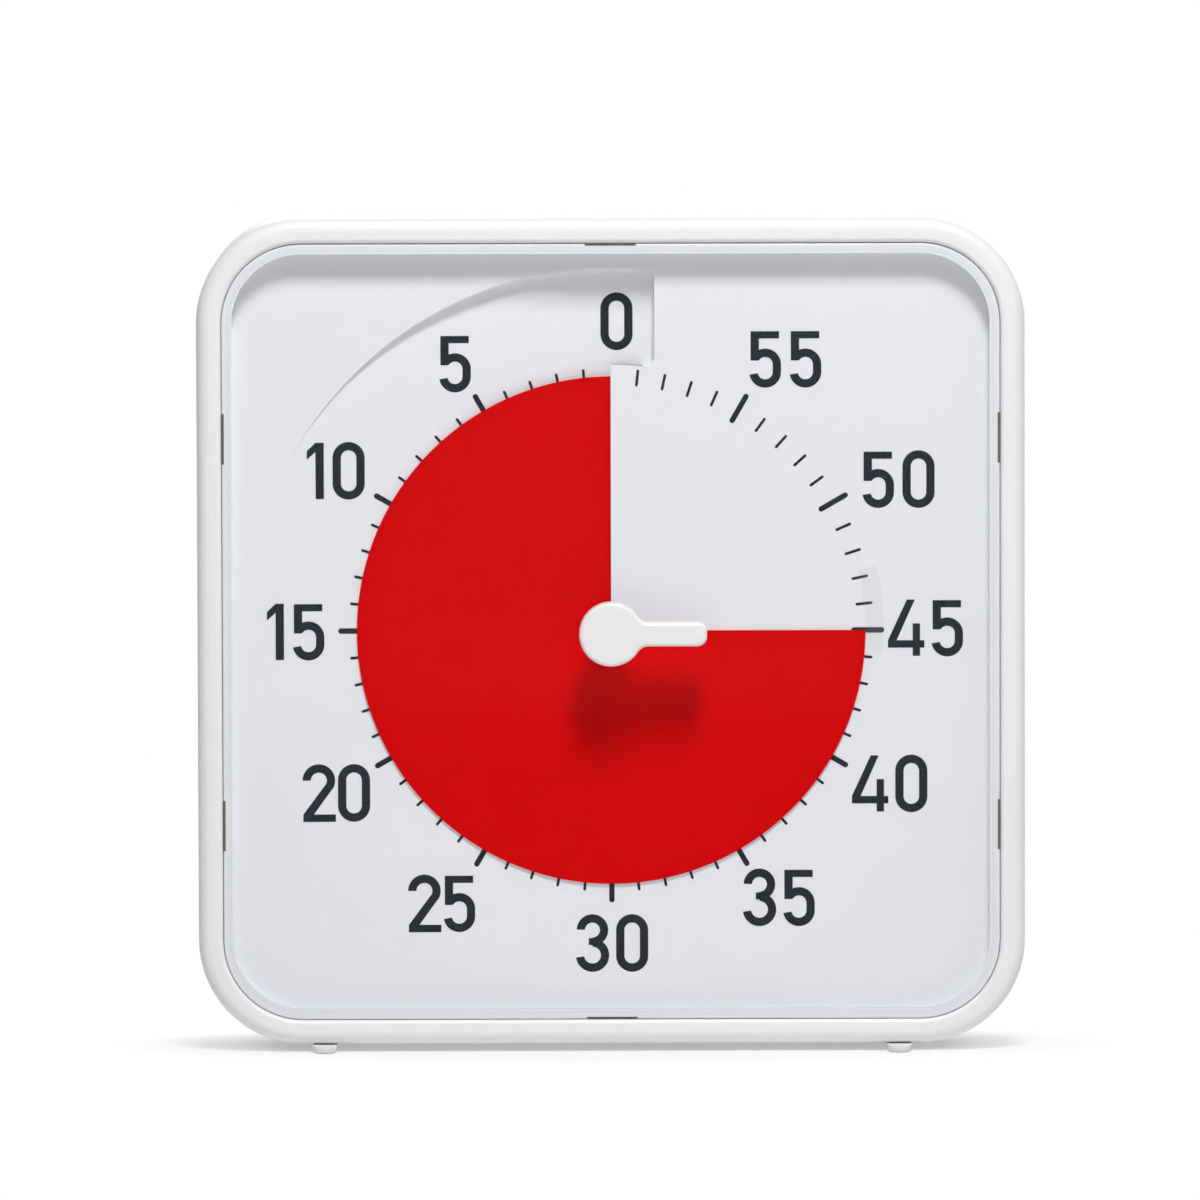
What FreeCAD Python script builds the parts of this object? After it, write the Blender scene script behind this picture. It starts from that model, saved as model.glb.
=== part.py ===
import FreeCAD, Part
import math
import os
from FreeCAD import Vector

os.makedirs("parts", exist_ok=True)

# A square countdown timer, in millimetres. +Z is up and the dial faces -Y.
# The origin is on the floor, under the middle of the whole timer.
# Depths are measured backwards from the front of the bezel.

# Case
case_width = 190.5
case_depth = 38.0
corner_radius = 24.1
bezel_width = 5.7
bezel_thickness = 2.4
wall = 2.5
front_round = 3.0
lip_round = 1.1
back_round = 2.0
slip = 0.15

# Lens
lens_front_depth = 0.6
lens_thickness = 1.6
lens_wall = 2.0
lens_flange_thickness = 2.3
lens_hole_radius = 4.6
lens_round = 0.4
lens_fuse = 0.5
slot_length = 11.7
slot_height = 0.5
slot_depth = 1.8
side_slot_offset = 44.6

# Dial face and its spiral centre sheet
face_depth = 4.9
face_thickness = 4.0
sheet_radius = 61.4
sheet_thickness = 0.6
sheet_hole_radius = 6.2
sheet_room = 0.2
recess_margin = 11.55
recess_depth = 3.0
recess_right = 10.1
recess_corner = 2.3
face_skim = 0.01
ramp_angle = 70.0

# Disc
disc_radius = 58.6
disc_thickness = 0.3
disc_gap = 0.2
disc_turn = 359.6
tab_radius = 62.8
tab_ahead = 13.7
tab_behind = 5.0
set_angle = 270.0
hub_radius = 5.2
hub_length = 7.2
hub_front = 0.6
spiral_step = 18

# Knob and shaft
knob_head_radius = 7.35
knob_reach = 22.0
knob_bar_width = 5.5
knob_thickness = 5.0
knob_clearance = 8.4
knob_round = 0.9
knob_blend = 2.8
knob_neck_radius = 3.9
knob_neck_gap = 0.3
knob_socket = 2.0
knob_tip_corner = 2.2
shaft_radius = 2.2
shaft_flat = 1.7
pivot_radius = 1.0
pivot_seat = 1.0
fit = 0.05

# Panel behind the dial
panel_depth = 10.6
panel_thickness = 2.0
panel_rim = 3.0
panel_hole_radius = 6.4
standoff_radius = 4.0
standoff_inset = 19.25
case_screw_length = 10.0
screw_pilot = 2.0
screw_shank = 1.4
screw_head = 2.9
screw_head_height = 1.6
screw_head_room = 0.2
cross_length = 2.6
cross_width = 0.6
cross_depth = 0.8

# Back cover
cover_thickness = 3.0
spigot_wall = 1.6
spigot_depth = 3.0
keyhole_radius = 4.0
keyhole_slot = 2.0
keyhole_rise = 8.0
keyhole_height = 60.0
magnet_radius = 6.0
magnet_thickness = 2.0
magnet_inset = 33.25

# Battery bay
battery_radius = 7.25
battery_length = 50.5
battery_tip_radius = 2.75
battery_tip_length = 1.3
battery_round = 0.8
bay_wall = 1.5
bay_room = 3.0
bay_side_room = 0.5
bay_door_room = 1.5
bay_drop = 52.0
contact_thickness = 0.5
contact_margin = 1.0
contact_length = 12.0
contact_root_radius = 2.4
contact_tip_radius = 4.6
door_margin = 2.0
door_skin = 0.9
door_tongue = 1.2
door_travel = 22.0
door_room = 0.15
door_end_room = 1.0
grip_count = 4
grip_pitch = 2.2
grip_length = 16.0
grip_width = 1.0
grip_depth = 0.5

# Feet
foot_inset = 29.05
foot_width = 5.5
foot_length = 46.0
foot_drop = 1.75
foot_gap = 0.12
foot_round = 1.1
stem_radius = 2.4
foot_skin = 0.6
foot_screw_shank = 1.1
foot_screw_head = 4.2
foot_screw_bite = 0.5
foot_slot_length = 5.0
foot_slot_width = 0.8
foot_slot_depth = 0.7

# Movement
movement_size = 56.0
movement_depth = 15.0
movement_wall = 1.5
movement_corner = 3.0
movement_screw_inset = 3.4
pillar_radius = 2.6
centre_teeth = 64
third_teeth = 60
second_teeth = 60
first_teeth = 50
small_pinion = 8
large_pinion = 10
tooth_module = 0.3
wheel_tooth = 0.42
pinion_tooth = 0.36
root_tooth = 0.48
tip_tooth = 0.14
addendum = 0.75
dedendum = 1.15
third_direction = 150.0
second_direction = 60.0
first_direction = -20.0
rotor_direction = -10.0
wheel_thickness = 0.7
layer_pitch = 2.1
wheel_gap = 0.3
arbor_radius = 0.45
arbor_pivot = 0.3
pivot_length = 0.9
pivot_skin = 0.5
pinion_overlap = 0.2
rotor_pinion_length = 1.5
rotor_magnet_length = 2.0
collar_radius = 3.6
collar_height = 0.4
clip_radius = 3.4
clip_thickness = 0.4
shaft_end = 0.15
spring_radius = 2.6
magnet_rotor_radius = 3.0
rotor_gap = 0.4
stator_thickness = 0.8
stator_width = 11.0
stator_height = 24.0
stator_above = 5.0
stator_step = 1.9
leg_height = 2.0
leg_root = 1.0
coil_radius = 2.2
coil_length = 18.0
bobbin_radius = 1.5
flange_thickness = 0.8
flange_rim = 0.4
post_radius = 1.0
post_edge = 0.4
lower_post_rise = 1.5
upper_post_drop = 1.2
board_thickness = 1.0
board_width = 26.0
board_height = 9.0
board_x = -8.0
board_z = -19.0
crystal_radius = 1.5
crystal_length = 6.0
crystal_drop = 2.5
chip_width = 4.5
chip_height = 1.2
chip_rise = 1.0

# Alert switch and sounder
switch_width = 13.0
switch_height = 7.0
switch_depth = 5.0
switch_travel = 3.0
switch_knob = 3.0
switch_knob_height = 3.2
switch_knob_inset = 0.4
switch_floor = 2.0
switch_room = 0.1
switch_end_room = 0.5
window_room = 0.3
switch_left = 42.0
switch_drop = 28.0
sounder_radius = 11.0
sounder_thickness = 5.5
sounder_rise = 10.0
sounder_port = 1.5
sounder_port_depth = 2.0

# Cutting tools reach this far past what they cut
reach_past = 1.0

# Places that follow from the sizes
knob_back_depth = face_depth - knob_clearance
knob_front_depth = knob_back_depth - knob_thickness
foot_middle_depth = case_depth / 2
foot_back_depth = foot_middle_depth + foot_length / 2
middle_depth = (knob_front_depth + foot_back_depth) / 2
center_z = foot_drop + case_width / 2
opening_width = case_width - 2 * bezel_width
inner_width = case_width - 2 * wall
inner_corner = corner_radius - wall
opening_corner = corner_radius - bezel_width
recess_radius = case_width / 2 - recess_margin
standoff_offset = case_width / 2 - standoff_inset
magnet_offset = case_width / 2 - magnet_inset
foot_offset = case_width / 2 - foot_inset
movement_screw_offset = movement_size / 2 - movement_screw_inset
spiral_rise = 2 * disc_gap + disc_thickness + sheet_thickness + sheet_room
dial_back_depth = face_depth + face_thickness
movement_front = panel_depth + panel_thickness
movement_back = movement_front + movement_depth
cover_front = case_depth - cover_thickness
bay_width = battery_length + battery_tip_length + 2 * bay_room
bay_height = 2 * (battery_radius + bay_side_room)
bay_front = case_depth - door_skin - 2 * battery_radius - bay_side_room - bay_door_room
battery_depth = bay_front + battery_radius + bay_side_room
door_width = bay_width + 2 * door_margin
door_height = bay_height + 2 * door_margin


def save(name, shape):
    """Write one node's solid or group of solids."""
    shape.exportStep("parts/" + name + ".step")


def y_at(depth):
    return depth - middle_depth


def cylinder(x, z, radius, depth, length):
    """A round bar along the depth, with x and z measured from the dial's centre."""
    base = Vector(x, y_at(depth), center_z + z)
    return Part.makeCylinder(radius, length, base, Vector(0, 1, 0))


def block(x, z, width, height, depth, length):
    """A box centred on x and z, measured from the dial's centre."""
    corner = Vector(x - width / 2, y_at(depth), center_z + z - height / 2)
    return Part.makeBox(width, length, height, corner)


def rounded_outline(width, height, radius, depth):
    """A closed wire: a rectangle with round corners, facing the front."""
    half_w = width / 2 - radius
    half_h = height / 2 - radius
    y = y_at(depth)
    edges = []
    ends = []
    for index, (sx, sz) in enumerate(((1, 1), (-1, 1), (-1, -1), (1, -1))):
        middle = Vector(sx * half_w, y, center_z + sz * half_h)
        points = []
        for eighth in range(3):
            turn = (2 * index + eighth) * math.pi / 4
            points.append(middle + Vector(radius * math.cos(turn), 0, radius * math.sin(turn)))
        ends.append(points)
    for index, points in enumerate(ends):
        edges.append(Part.Arc(*points).toShape())
        after = ends[(index + 1) % 4][0]
        if points[2].distanceToPoint(after) > 1e-6:
            edges.append(Part.makeLine(points[2], after))
    return Part.Wire(Part.__sortEdges__(edges))


def rounded_block(width, height, radius, depth, length):
    face = Part.Face(rounded_outline(width, height, radius, depth))
    return face.extrude(Vector(0, length, 0))


def edges_at_depth(shape, depth, inside=math.inf):
    """Edges that lie wholly at one depth, inside a half width."""
    found = []
    for edge in shape.Edges:
        box = edge.BoundBox
        if abs(box.YMin - y_at(depth)) > 1e-4 or abs(box.YMax - y_at(depth)) > 1e-4:
            continue
        reach = max(abs(box.XMin), abs(box.XMax), abs(box.ZMin - center_z), abs(box.ZMax - center_z))
        if reach <= inside:
            found.append(edge)
    return found


def on_dial(radius, angle, depth):
    """A point at an angle turned to the left from twelve o'clock."""
    turn = math.radians(angle)
    return Vector(-radius * math.sin(turn), y_at(depth), center_z + radius * math.cos(turn))


def spiral(start, stop, inner, outer, inner_front, outer_front, thickness):
    """A sheet that winds round the dial, with each edge's depth a function of the angle."""
    count = max(3, int(round((stop - start) / spiral_step)) + 1)
    sections = []
    for index in range(count):
        angle = start + (stop - start) * index / (count - 1)
        near = inner_front(angle)
        far = outer_front(angle)
        corners = [
            on_dial(inner, angle, near),
            on_dial(outer, angle, far),
            on_dial(outer, angle, far + thickness),
            on_dial(inner, angle, near + thickness),
        ]
        sections.append(Part.makePolygon(corners + [corners[0]]))
    return Part.makeLoft(sections, True, False)


def ease(share):
    return (1 - math.cos(math.pi * share)) / 2


def helix_depth(angle):
    """Depth of the plain spiral, which reaches the flat face after a whole turn."""
    return face_depth + spiral_rise * (360.0 - angle) / 360.0


def ramp_dip(angle):
    """How far the ramp at twelve o'clock lies behind the plain spiral."""
    deepest = recess_depth - spiral_rise
    if angle >= ramp_angle:
        return 0.0
    return deepest * (1 - ease(max(angle, 0.0) / ramp_angle))


def sheet_depth(angle):
    return helix_depth(angle) + ramp_dip(angle)


def recess_edge_depth(angle):
    """Depth of the face along the recess's outer wall."""
    if angle >= ramp_angle:
        return face_depth
    return face_depth + recess_depth * (1 - ease(angle / ramp_angle))


def disc_depth(back_angle):
    """Depth of the disc's front at an angle back from its leading edge, with the dial at zero."""
    lift = disc_gap + disc_thickness
    slide = spiral_rise * set_angle / 360.0
    return helix_depth(-back_angle) + ramp_dip(360.0 - back_angle) - lift - slide


# Case and lens


def case_frame():
    body = rounded_block(case_width, case_width, corner_radius, 0, cover_front)
    body = body.makeFillet(front_round, edges_at_depth(body, 0))
    body = body.cut(rounded_block(inner_width, inner_width, inner_corner, bezel_thickness, case_depth))
    opening = rounded_block(
        opening_width,
        opening_width,
        opening_corner,
        -reach_past,
        bezel_thickness + 2 * reach_past,
    )
    body = body.cut(opening)
    body = body.makeFillet(lip_round, edges_at_depth(body, 0, inside=opening_width / 2 + fit))
    for side in (-1, 1):
        hole = Part.makeCylinder(
            stem_radius + fit,
            wall + 2 * reach_past,
            Vector(side * foot_offset, y_at(foot_middle_depth), foot_drop - reach_past),
        )
        body = body.cut(hole)
    return body


def lens():
    width = opening_width - 2 * slip
    corner = opening_corner - slip
    flange_width = inner_width - 2 * slip
    flange_front = face_depth - lens_flange_thickness
    body = rounded_block(width, width, corner, lens_front_depth, flange_front - lens_front_depth + lens_fuse)
    body = body.makeFillet(lens_round, edges_at_depth(body, lens_front_depth))
    flange = rounded_block(flange_width, flange_width, inner_corner - slip, flange_front, lens_flange_thickness)
    body = body.fuse(flange).removeSplitter()
    room = rounded_block(
        width - 2 * lens_wall,
        width - 2 * lens_wall,
        corner - lens_wall,
        lens_front_depth + lens_thickness,
        case_depth,
    )
    body = body.cut(room)
    body = body.cut(cylinder(0, 0, lens_hole_radius, 0, lens_front_depth + lens_thickness + reach_past))
    reach = (width - slot_height) / 2
    for along in (-side_slot_offset, side_slot_offset):
        for side in (-1, 1):
            body = body.cut(block(side * reach, along, slot_height, slot_length, 0, slot_depth))
    for side in (-1, 1):
        body = body.cut(block(0, side * reach, slot_length, slot_height, 0, slot_depth))
    return body


# Dial


def dial_face():
    width = inner_width - 2 * slip
    body = rounded_block(width, width, inner_corner - slip, face_depth, face_thickness)
    body = body.cut(cylinder(0, 0, sheet_radius, face_depth - reach_past, face_thickness + 2 * reach_past))
    front = -reach_past
    near = sheet_radius - reach_past
    last = 360.0 - math.degrees(math.asin(recess_right / recess_radius))
    count = int(last / spiral_step) + 1
    sections = []
    for index in range(count + 1):
        angle = last * index / count
        corners = [
            on_dial(near, angle, sheet_depth(angle)),
            on_dial(sheet_radius, angle, sheet_depth(angle)),
            on_dial(recess_radius, angle, recess_edge_depth(angle) + face_skim),
            on_dial(recess_radius, angle, front),
            on_dial(near, angle, front),
        ]
        sections.append(Part.makePolygon(corners + [corners[0]]))
    body = body.cut(Part.makeLoft(sections, True, False))
    ring = cylinder(0, 0, recess_radius, 0, face_depth + recess_depth)
    ring = ring.cut(cylinder(0, 0, sheet_radius, -reach_past, case_depth))
    height = recess_radius + reach_past
    window = block(recess_right / 2, height / 2, recess_right, height, -reach_past, case_depth)
    pocket = ring.common(window)
    corners = []
    for edge in pocket.Edges:
        box = edge.BoundBox
        if box.XMin > recess_right - 1e-3 and box.YLength > recess_depth:
            corners.append(edge)
    pocket = pocket.makeFillet(recess_corner, corners)
    return body.cut(pocket)


def dial_sheet():
    return spiral(0, 360, sheet_hole_radius, sheet_radius, sheet_depth, sheet_depth, sheet_thickness)


def disc_shape(start, stop, inner, outer):
    """Part of the disc, between two angles back from its leading edge."""

    def depth(angle):
        return disc_depth(set_angle - angle)

    return spiral(set_angle - stop, set_angle - start, inner, outer, depth, depth, disc_thickness)


def red_disc():
    return disc_shape(0, disc_turn, hub_radius, disc_radius)


def guide_tab():
    return disc_shape(-tab_ahead, tab_behind, disc_radius, tab_radius)


def flatted(radius, flat, depth, length):
    """A round bar with one flat, above the axis."""
    bar = cylinder(0, 0, radius, depth, length)
    return bar.cut(block(0, flat + radius, 4 * radius, 2 * radius, depth - reach_past, length + 2 * reach_past))


def disc_hub():
    front = lens_front_depth + lens_thickness + hub_front
    body = cylinder(0, 0, hub_radius, front, hub_length)
    return body.cut(flatted(shaft_radius + fit, shaft_flat + fit, front - reach_past, hub_length + 2 * reach_past))


def knob():
    y = y_at(knob_front_depth)
    half = knob_bar_width / 2
    tip = knob_reach
    corner = knob_tip_corner
    join = math.sqrt(knob_head_radius**2 - half**2)
    points = [
        Vector(join, y, center_z + half),
        Vector(tip - corner, y, center_z + half),
        Vector(tip, y, center_z + half - corner),
        Vector(tip, y, center_z - half + corner),
        Vector(tip - corner, y, center_z - half),
        Vector(join, y, center_z - half),
    ]
    bend = corner * (1 - math.sqrt(0.5))
    upper = Vector(tip - bend, y, center_z + half - bend)
    lower = Vector(tip - bend, y, center_z - half + bend)
    edges = [
        Part.makeLine(points[0], points[1]),
        Part.Arc(points[1], upper, points[2]).toShape(),
        Part.makeLine(points[2], points[3]),
        Part.Arc(points[3], lower, points[4]).toShape(),
        Part.makeLine(points[4], points[5]),
        Part.Arc(points[5], Vector(-knob_head_radius, y, center_z), points[0]).toShape(),
    ]
    body = Part.Face(Part.Wire(edges)).extrude(Vector(0, knob_thickness, 0))
    inner_corners = []
    for edge in body.Edges:
        box = edge.BoundBox
        if box.YLength > knob_thickness / 2 and abs(box.XMin - join) < 1e-3 and box.XLength < 1e-3:
            inner_corners.append(edge)
    body = body.makeFillet(knob_blend, inner_corners)
    body = body.makeFillet(knob_round, edges_at_depth(body, knob_front_depth))
    neck_end = lens_front_depth - knob_neck_gap
    body = body.fuse(cylinder(0, 0, knob_neck_radius, knob_back_depth, neck_end - knob_back_depth))
    return body.cut(flatted(shaft_radius, shaft_flat, knob_back_depth - knob_socket, case_depth))


def dial_shaft():
    front = knob_back_depth - knob_socket
    stop = layer(0) + wheel_thickness + collar_height + fit + clip_thickness + shaft_end
    body = flatted(shaft_radius, shaft_flat, front, stop - front)
    rear = movement_back - movement_wall + pivot_seat
    return body.fuse(cylinder(0, 0, pivot_radius, stop, rear - stop)).removeSplitter()


# Panel and cover


def dial_panel():
    width = inner_width - 2 * slip
    corner = inner_corner - slip
    body = rounded_block(width, width, corner, dial_back_depth, panel_depth + panel_thickness - dial_back_depth)
    room = rounded_block(
        width - 2 * panel_rim,
        width - 2 * panel_rim,
        corner - panel_rim,
        dial_back_depth - reach_past,
        panel_depth - dial_back_depth + reach_past,
    )
    body = body.cut(room)
    pilot = case_screw_length + screw_head_height - cover_thickness + screw_pilot
    through = panel_thickness + 2 * reach_past
    for sx in (-1, 1):
        for sz in (-1, 1):
            x = sx * standoff_offset
            z = sz * standoff_offset
            body = body.fuse(cylinder(x, z, standoff_radius, panel_depth, cover_front - panel_depth))
    for sx in (-1, 1):
        for sz in (-1, 1):
            x = sx * standoff_offset
            z = sz * standoff_offset
            body = body.cut(cylinder(x, z, screw_shank + fit, cover_front - pilot, pilot + reach_past))
            x = sx * movement_screw_offset
            z = sz * movement_screw_offset
            body = body.cut(cylinder(x, z, screw_shank + fit, panel_depth - reach_past, through))
    return body.cut(cylinder(0, 0, panel_hole_radius, panel_depth - reach_past, through))


def door_solid(gap, skin, depth_gap, extra):
    """The door, or with a gap the room it slides in."""
    z = -bay_drop - extra / 2
    height = door_height + 2 * gap + extra
    outer = block(0, z, door_width + 2 * gap, height, case_depth - skin, skin + depth_gap)
    wide = door_width + 2 * door_tongue + 2 * gap
    return outer.fuse(block(0, z, wide, height, case_depth - 2 * skin - fit, skin + fit))


def battery_door():
    body = door_solid(0, door_skin, 0, 0)
    for index in range(grip_count):
        z = -bay_drop + (index - (grip_count - 1) / 2) * grip_pitch
        body = body.cut(block(0, z, grip_length, grip_width, case_depth - grip_depth, reach_past))
    return body.removeSplitter()


def rear_cover():
    body = rounded_block(case_width, case_width, corner_radius, cover_front, cover_thickness)
    body = body.makeFillet(back_round, edges_at_depth(body, case_depth))
    width = inner_width - 2 * slip
    corner = inner_corner - slip
    spigot = rounded_block(width, width, corner, cover_front - spigot_depth, spigot_depth)
    room = rounded_block(
        width - 2 * spigot_wall,
        width - 2 * spigot_wall,
        corner - spigot_wall,
        cover_front - spigot_depth - reach_past,
        spigot_depth + reach_past,
    )
    body = body.fuse(spigot.cut(room))
    tray_front = bay_front - bay_wall
    tray_width = bay_width + 2 * bay_wall
    tray_height = bay_height + 2 * bay_wall
    body = body.fuse(block(0, -bay_drop, tray_width, tray_height, tray_front, case_depth - door_skin - tray_front))
    body = body.cut(block(0, -bay_drop, bay_width, bay_height, bay_front, case_depth))
    body = body.cut(door_solid(door_room, door_skin, reach_past, door_travel + door_end_room))
    through = cover_thickness + 2 * reach_past
    front = cover_front - reach_past
    for sx in (-1, 1):
        for sz in (-1, 1):
            x = sx * standoff_offset
            z = sz * standoff_offset
            body = body.cut(cylinder(x, z, screw_shank + fit, front, through))
            body = body.cut(cylinder(x, z, screw_head + screw_head_room, case_depth - screw_head_height, through))
            x = sx * magnet_offset
            z = sz * magnet_offset
            body = body.cut(cylinder(x, z, magnet_radius + fit, case_depth - magnet_thickness, through))
    body = body.cut(cylinder(0, keyhole_height, keyhole_radius, front, through))
    slot = block(0, keyhole_height + keyhole_rise / 2, 2 * keyhole_slot, keyhole_rise, front, through)
    body = body.cut(slot.fuse(cylinder(0, keyhole_height + keyhole_rise, keyhole_slot, front, through)))
    window_width = switch_knob + switch_travel + 2 * window_room
    window_height = switch_knob_height + 2 * switch_room + 2 * switch_room
    return body.cut(block(-switch_left, -switch_drop, window_width, window_height, front, through)).removeSplitter()


def screw(x, z, head_depth, shank, head, head_height, length):
    """A pan screw that points to the front, with a cross recess."""
    body = cylinder(x, z, head, head_depth - head_height, head_height)
    body = body.fuse(cylinder(x, z, shank, head_depth - head_height - length, length))
    deep = cross_depth + reach_past
    body = body.cut(block(x, z, cross_length, cross_width, head_depth - cross_depth, deep))
    return body.cut(block(x, z, cross_width, cross_length, head_depth - cross_depth, deep)).removeSplitter()


def four(offset, make):
    shapes = []
    for sx in (-1, 1):
        for sz in (-1, 1):
            shapes.append(make(sx * offset, sz * offset))
    return Part.makeCompound(shapes)


def battery():
    left = -(battery_length + battery_tip_length) / 2
    base = Vector(left, y_at(battery_depth), center_z - bay_drop)
    body = Part.makeCylinder(battery_radius, battery_length, base, Vector(1, 0, 0))
    body = body.makeFillet(battery_round, body.Edges[0:1])
    tip = Part.makeCylinder(battery_tip_radius, battery_tip_length, base + Vector(battery_length, 0, 0), Vector(1, 0, 0))
    return body.fuse(tip).removeSplitter()


def contact_plate(side):
    """A sprung tin plate at one end of the battery, standing in the bay."""
    x = side * (bay_width - contact_thickness) / 2
    height = bay_height - 2 * contact_margin
    plate = block(x, -bay_drop, contact_thickness, height, battery_depth - contact_length / 2, contact_length)
    end = (battery_length + battery_tip_length) / 2
    reach = bay_width / 2 - contact_thickness - end
    base = Vector(side * end, y_at(battery_depth), center_z - bay_drop)
    boss = Part.makeCone(contact_root_radius, contact_tip_radius, reach, base, Vector(side, 0, 0))
    return plate.fuse(boss).removeSplitter()


# Feet


def foot(side):
    """A bar across the case's depth on a round stem, rounded underneath."""
    x = side * foot_offset
    thickness = foot_drop - foot_gap
    y = y_at(foot_middle_depth)
    half = foot_length / 2 - foot_width / 2
    body = Part.makeBox(foot_width, 2 * half, thickness, Vector(x - foot_width / 2, y - half, 0))
    for end in (-1, 1):
        body = body.fuse(Part.makeCylinder(foot_width / 2, thickness, Vector(x, y + end * half, 0)))
    body = body.removeSplitter()
    low = [edge for edge in body.Edges if edge.BoundBox.ZMax < 1e-4]
    body = body.makeFillet(foot_round, low)
    stem_top = foot_drop + wall + foot_gap
    body = body.fuse(Part.makeCylinder(stem_radius, stem_top - thickness / 2, Vector(x, y, thickness / 2)))
    return body.cut(Part.makeCylinder(foot_screw_shank + fit, stem_top, Vector(x, y, foot_skin)))


def foot_screw(side):
    base = Vector(side * foot_offset, y_at(foot_middle_depth), foot_drop + wall + foot_gap)
    body = Part.makeCylinder(foot_screw_head, screw_head_height, base)
    low = base - Vector(0, 0, wall + foot_gap)
    body = body.fuse(Part.makeCylinder(foot_screw_shank, wall + foot_gap + foot_screw_bite, low))
    corner = base + Vector(-foot_slot_length / 2, -foot_slot_width / 2, screw_head_height - foot_slot_depth)
    slot = Part.makeBox(foot_slot_length, foot_slot_width, foot_slot_depth + reach_past, corner)
    return body.cut(slot).removeSplitter()


# Movement


def movement_housing():
    front = movement_front
    body = rounded_block(movement_size, movement_size, movement_corner, front, movement_depth - movement_wall)
    inside = movement_size - 2 * movement_wall
    inside_corner = movement_corner - movement_wall
    room = rounded_block(inside, inside, inside_corner, movement_front + movement_wall, movement_depth)
    body = body.cut(room)
    for sx in (-1, 1):
        for sz in (-1, 1):
            x = sx * movement_screw_offset
            z = sz * movement_screw_offset
            body = body.fuse(cylinder(x, z, pillar_radius, movement_front, movement_depth - movement_wall))
    for sx in (-1, 1):
        for sz in (-1, 1):
            x = sx * movement_screw_offset
            z = sz * movement_screw_offset
            body = body.cut(cylinder(x, z, screw_shank + fit, front - reach_past, movement_depth + 2 * reach_past))
    body = body.cut(cylinder(0, 0, shaft_radius + fit, front - reach_past, movement_wall + 2 * reach_past))
    for x, z in (third_place, second_place, first_place, rotor_place):
        body = body.cut(cylinder(x, z, arbor_pivot + fit, front + pivot_skin, movement_wall))
    post_x = rotor_place[0] + stator_width / 2 - post_radius - post_edge
    for z in (stator_bottom + lower_post_rise, rotor_place[1] + stator_above - upper_post_drop):
        body = body.fuse(cylinder(post_x, z, post_radius, front, stator_depth - front))
    return body.removeSplitter()


def movement_cover():
    back = movement_back - movement_wall
    body = rounded_block(movement_size, movement_size, movement_corner, back, movement_wall)
    for sx in (-1, 1):
        for sz in (-1, 1):
            x = sx * movement_screw_offset
            z = sz * movement_screw_offset
            body = body.cut(cylinder(x, z, screw_shank + fit, back - reach_past, movement_wall + 2 * reach_past))
    seat = pivot_seat + fit
    body = body.cut(cylinder(0, 0, pivot_radius + fit, back - reach_past, reach_past + seat))
    for x, z in (third_place, second_place, first_place, rotor_place):
        body = body.cut(cylinder(x, z, arbor_pivot + fit, back - reach_past, reach_past + seat))
    return body


def mesh_distance(teeth, other):
    return tooth_module * (teeth + other) / 2


def place(start, distance, angle):
    turn = math.radians(angle)
    return (start[0] + distance * math.cos(turn), start[1] + distance * math.sin(turn))


third_place = place((0, 0), mesh_distance(centre_teeth, small_pinion), third_direction)
second_place = place(third_place, mesh_distance(third_teeth, small_pinion), second_direction)
first_place = place(second_place, mesh_distance(second_teeth, large_pinion), first_direction)
rotor_place = place(first_place, mesh_distance(first_teeth, large_pinion), rotor_direction)
gear_front = movement_front + movement_wall + wheel_gap


def gear(x, z, teeth, phase, slim, depth, length):
    """A toothed wheel. The phase is in degrees and sets where a tooth's middle points."""
    pitch_radius = tooth_module * teeth / 2
    tip = pitch_radius + addendum * tooth_module
    root = pitch_radius - dedendum * tooth_module
    pitch = 360.0 / teeth
    rising = [(root, -root_tooth), (pitch_radius, -slim), (tip, -tip_tooth)]
    falling = [(tip, tip_tooth), (pitch_radius, slim), (root, root_tooth)]
    points = []
    for index in range(teeth):
        for radius, share in rising + falling:
            turn = math.radians(phase + (index + share / 2) * pitch)
            points.append(Vector(x + radius * math.cos(turn), y_at(depth), center_z + z + radius * math.sin(turn)))
    face = Part.Face(Part.makePolygon(points + [points[0]]))
    return face.extrude(Vector(0, length, 0))


def layer(index):
    return gear_front + index * layer_pitch


def arbor(at):
    """A thin shaft between the movement's walls, with a finer pivot at each end."""
    x, z = at
    start = movement_front + movement_wall + fit
    length = movement_back - movement_wall - fit - start
    body = cylinder(x, z, arbor_radius, start, length)
    return body.fuse(cylinder(x, z, arbor_pivot, start - pivot_length, length + 2 * pivot_length))


def wheel_and_pinion(at, teeth, phase, pinion_teeth, pinion_phase, index):
    """A wheel, the pinion in front of it and the arbor that carries both."""
    x, z = at
    body = gear(x, z, teeth, phase, wheel_tooth, layer(index), wheel_thickness)
    front = layer(index - 1) - wheel_gap
    length = layer(index) - front + pinion_overlap
    body = body.fuse(gear(x, z, pinion_teeth, pinion_phase, pinion_tooth, front, length))
    return body.fuse(arbor(at)).removeSplitter()


def facing(at, other):
    """The direction from one arbor to another, in degrees."""
    return math.degrees(math.atan2(other[1] - at[1], other[0] - at[0]))


def centre_wheel():
    body = gear(0, 0, centre_teeth, facing((0, 0), third_place), wheel_tooth, layer(0), wheel_thickness)
    body = body.fuse(cylinder(0, 0, collar_radius, layer(0), wheel_thickness + collar_height))
    return body.cut(cylinder(0, 0, shaft_radius + fit, layer(0) - reach_past, movement_depth)).removeSplitter()


def third_wheel():
    pinion_phase = facing(third_place, (0, 0)) + 180.0 / small_pinion
    phase = facing(third_place, second_place)
    return wheel_and_pinion(third_place, third_teeth, phase, small_pinion, pinion_phase, 1)


def second_wheel():
    pinion_phase = facing(second_place, third_place) + 180.0 / small_pinion
    phase = facing(second_place, first_place)
    return wheel_and_pinion(second_place, second_teeth, phase, small_pinion, pinion_phase, 2)


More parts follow.
